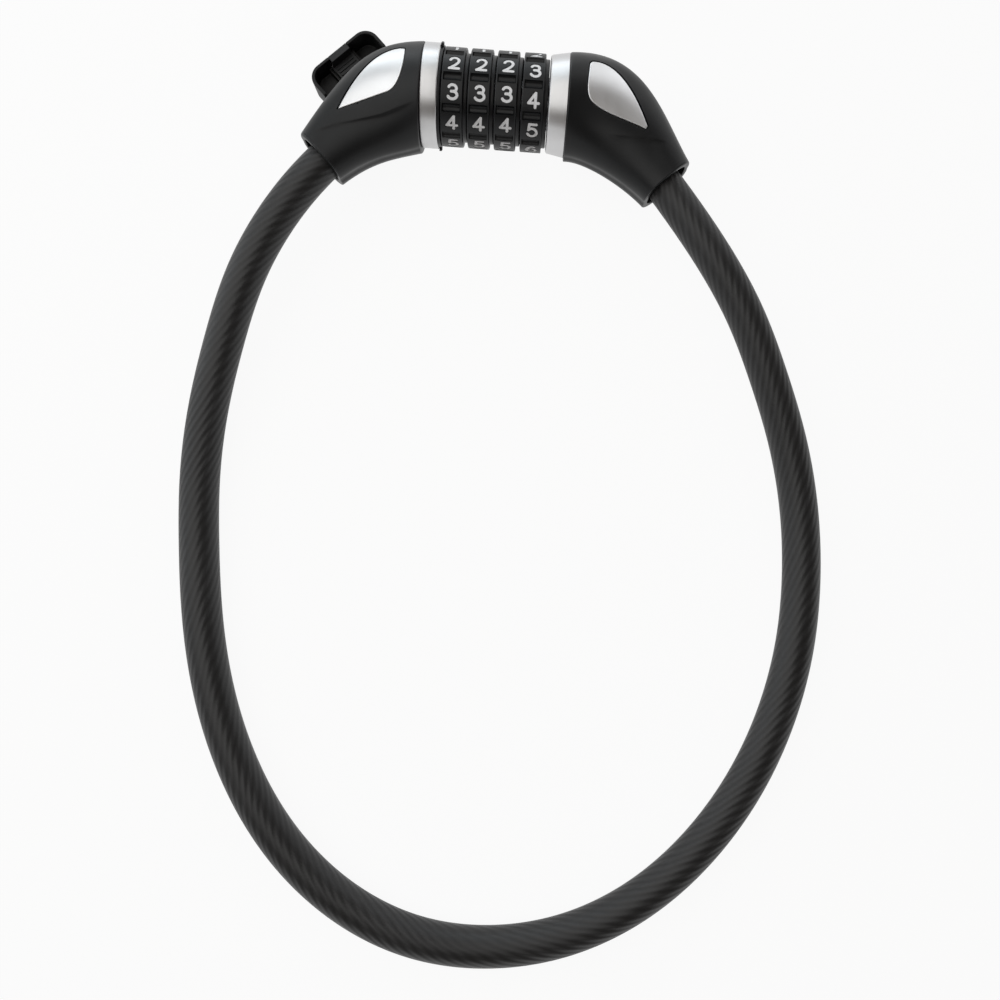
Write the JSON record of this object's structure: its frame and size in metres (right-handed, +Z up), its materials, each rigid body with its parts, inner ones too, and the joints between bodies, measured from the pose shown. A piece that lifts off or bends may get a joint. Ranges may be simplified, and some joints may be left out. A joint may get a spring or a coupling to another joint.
{
  "type": "combination cable lock",
  "caption": "Combination cable lock: number dials between two curved housings, a sheathed steel cable loop and a slide-off frame bracket.",
  "frame": {"origin": "on the ground, under the middle of the head's bounding box (head and bracket without the cable)", "axes": "+X along the dial barrel from the fixed housing towards the bolt end, +Y away from the cable loop, +Z up out of the face with the silver inserts"},
  "size_m": [0.2028, 0.2906, 0.0337],
  "materials": {
    "digit_paint": "white pad print",
    "housing_plastic": "soft-touch black",
    "silver_insert": "satin silver lacquer",
    "satin_ring": "satin anodised",
    "dial_plastic": "satin black with white digits",
    "zinc_casting": "as-cast zinc",
    "spring_steel": "spring steel",
    "dark_steel": "black oxide",
    "plated_steel": "zinc plated",
    "bush_rubber": "matt",
    "wire_rope": "twisted steel rope",
    "cable_sheath": "smoke-tinted satin vinyl",
    "bracket_plastic": "moulded black",
    "latch_plastic": "moulded dark grey",
    "sleeve_brass": "machined"
  },
  "bodies": {
    "lock_body": {"left_housing_front": "housing_plastic", "left_housing_back": "housing_plastic", "left_insert": "silver_insert", "left_housing_screws": "dark_steel", "left_ring": "satin_ring", "index_collar": "dial_plastic", "core_tube": "zinc_casting", "detent_strip": "spring_steel", "cone_washer": "spring_steel", "retaining_ring": "spring_steel", "left_anchor": "zinc_casting", "left_anchor_pin": "dark_steel", "left_anchor_screw": "dark_steel", "left_ferrule": "plated_steel", "left_exit_bush": "bush_rubber", "cable_core": "wire_rope", "cable_sheath": "cable_sheath"},
    "dial_1_body": {"dial_1": "dial_plastic", "code_sleeve_1": "sleeve_brass"},
    "dial_2_body": {"dial_2": "dial_plastic", "code_sleeve_2": "sleeve_brass"},
    "dial_3_body": {"dial_3": "dial_plastic", "code_sleeve_3": "sleeve_brass"},
    "dial_4_body": {"dial_4": "dial_plastic", "code_sleeve_4": "sleeve_brass"},
    "bolt_end": {"bolt": "plated_steel", "bolt_pin": "dark_steel", "right_anchor": "zinc_casting", "right_anchor_screw": "dark_steel", "right_ferrule": "plated_steel", "right_exit_bush": "bush_rubber", "right_ring": "satin_ring", "right_housing_front": "housing_plastic", "right_housing_back": "housing_plastic", "right_insert": "silver_insert", "right_housing_screws": "dark_steel"},
    "bracket": {"bracket_shoe": "bracket_plastic"},
    "latch": {"bracket_latch": "latch_plastic", "latch_spring": "spring_steel"}
  },
  "joints": [
    {"name": "dial_1_turn", "type": "hinge", "parent": "lock_body", "child": "dial_1_body", "pos_m": [-0.01319, 0.00295, 0.017], "axis": [1, 0, 0], "continuous": true},
    {"name": "dial_2_turn", "type": "hinge", "parent": "lock_body", "child": "dial_2_body", "pos_m": [-0.00499, 0.00295, 0.017], "axis": [1, 0, 0], "continuous": true},
    {"name": "dial_3_turn", "type": "hinge", "parent": "lock_body", "child": "dial_3_body", "pos_m": [0.00321, 0.00295, 0.017], "axis": [1, 0, 0], "continuous": true},
    {"name": "dial_4_turn", "type": "hinge", "parent": "lock_body", "child": "dial_4_body", "pos_m": [0.01141, 0.00295, 0.017], "axis": [1, 0, 0], "continuous": true},
    {"name": "bolt_pull", "type": "slide", "parent": "lock_body", "child": "bolt_end", "axis": [1, 0, 0], "range_m": [0, 0.045], "deforming": ["cable_sheath", "cable_core"]},
    {"name": "bracket_slide", "type": "slide", "parent": "lock_body", "child": "bracket", "axis": [-0.7071, 0.7071, 0], "range_m": [0, 0.022]},
    {"name": "latch_press", "type": "slide", "parent": "bracket", "child": "latch", "axis": [0, 0, -1], "range_m": [0, 0.0016], "stiffness_N_per_m": 1200, "deforming": ["latch_spring"]}
  ]
}
